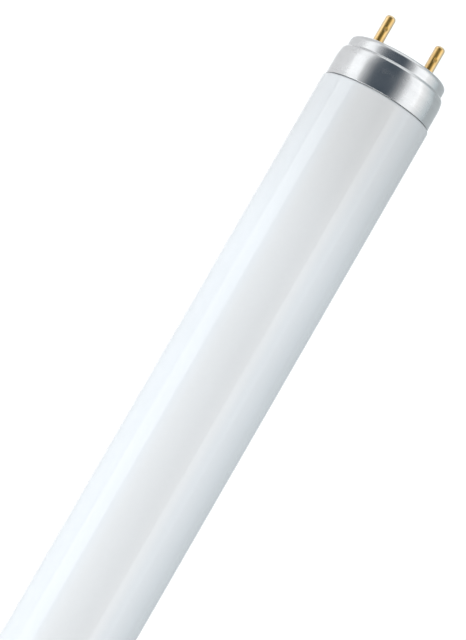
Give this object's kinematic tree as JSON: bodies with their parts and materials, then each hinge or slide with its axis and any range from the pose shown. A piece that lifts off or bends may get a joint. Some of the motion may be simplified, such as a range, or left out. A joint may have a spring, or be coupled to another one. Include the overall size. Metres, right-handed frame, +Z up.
{
  "type": "fluorescent tube",
  "caption": "Straight white fluorescent lamp: a sealed coated glass tube with a stepped aluminium cap and brass contact pins at each end.",
  "frame": {"origin": "middle of the lamp, on its axis", "axes": "+X along the lamp towards the right-hand cap, the contact pins of both ends lie in the XY plane, +Z up"},
  "size_m": [0.604, 0.026, 0.026],
  "materials": {
    "coated_glass": "smooth clear glass over a white inner coating, opaque",
    "drawn_aluminium": "bright drawn sheet with faint lines round it",
    "pin_brass": "bright drawn brass",
    "plate_phenolic": "dark brown phenolic, satin",
    "lead_wire": "plain drawn wire",
    "basing_cement": "baked resin cement, chalky"
  },
  "bodies": {
    "root": {"glass_tube": "coated_glass", "left_cap_shell": "drawn_aluminium", "left_insulator_plate": "plate_phenolic", "left_cement_ring": "basing_cement", "left_front_pin": "pin_brass", "left_rear_pin": "pin_brass", "left_front_lead": "lead_wire", "left_rear_lead": "lead_wire", "right_cap_shell": "drawn_aluminium", "right_insulator_plate": "plate_phenolic", "right_cement_ring": "basing_cement", "right_front_pin": "pin_brass", "right_rear_pin": "pin_brass", "right_front_lead": "lead_wire", "right_rear_lead": "lead_wire"}
  },
  "joints": []
}
